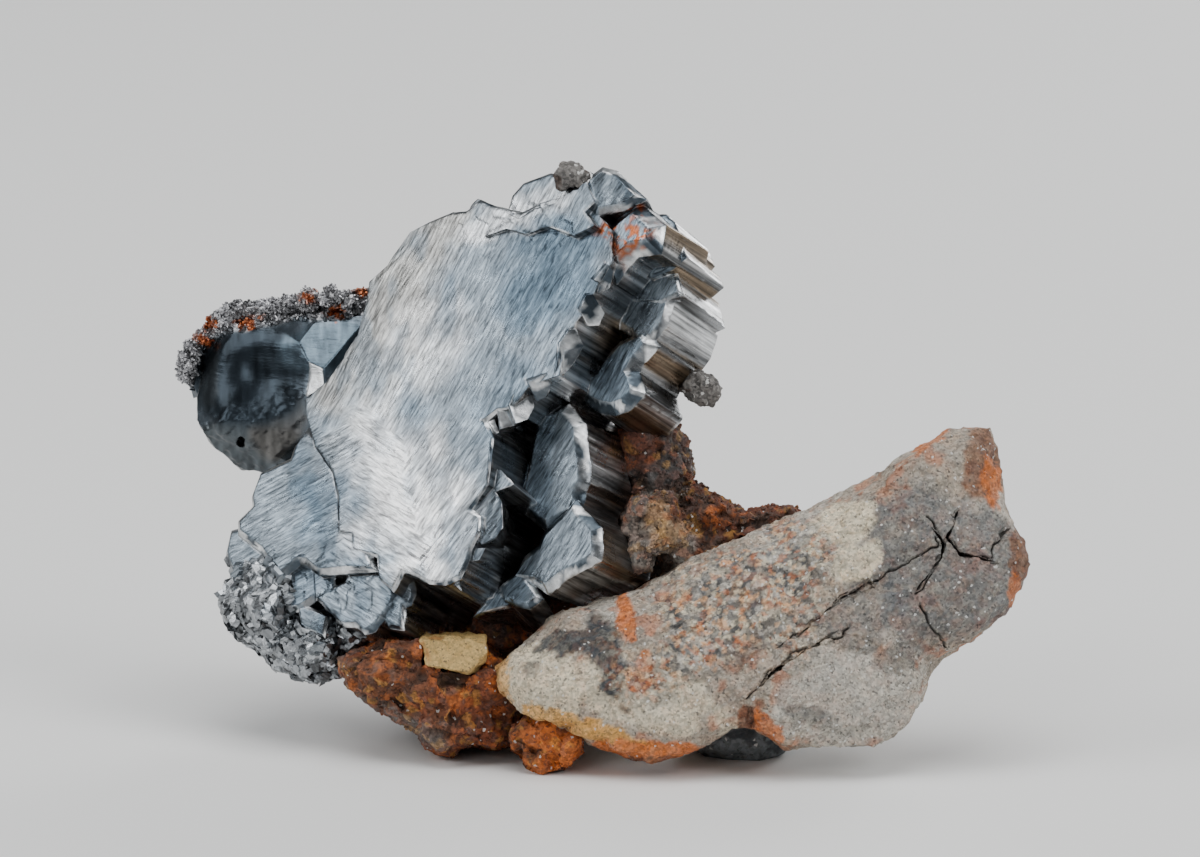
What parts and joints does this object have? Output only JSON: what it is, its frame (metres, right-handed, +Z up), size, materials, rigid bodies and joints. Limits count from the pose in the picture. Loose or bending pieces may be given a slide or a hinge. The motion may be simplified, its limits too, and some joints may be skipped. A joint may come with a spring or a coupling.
{
  "type": "bournonite mineral specimen",
  "caption": "Free-standing mineral specimen: a steel-grey cogwheel bournonite cluster and a dark glassy crystal on rusty matrix, with a long granular sandstone shard at one side.",
  "frame": {"origin": "middle of the box around the specimen, on the floor it rests on", "axes": "+Z up; +X to the right in the picture, along the longest extent; -Y towards the viewer"},
  "size_m": [0.0858, 0.0424, 0.0589],
  "materials": {
    "bournonite": "steel-grey metallic lustre, feathered main face and striated side faces",
    "dark_bournonite": "navy-black glassy metallic lustre with a shell-shaped break and a sparkling crown",
    "sandstone": "granular, salt-and-pepper grey and tan with rust stains and cracks",
    "limonite": "rough, rust-red, orange and dark brown, grey and granular at the upper right",
    "siderite": "dull ochre-yellow cleavage block",
    "slate": "dark blue-grey, matt",
    "grey_matrix": "grey, granular"
  },
  "bodies": {
    "root": {"bournonite_cluster": "bournonite", "dark_crystal": "dark_bournonite", "sandstone_shard": "sandstone", "limonite_matrix": "limonite", "siderite_block": "siderite", "slate_foot": "slate", "matrix_nub_top": "grey_matrix", "matrix_nub_side": "grey_matrix"}
  },
  "joints": []
}
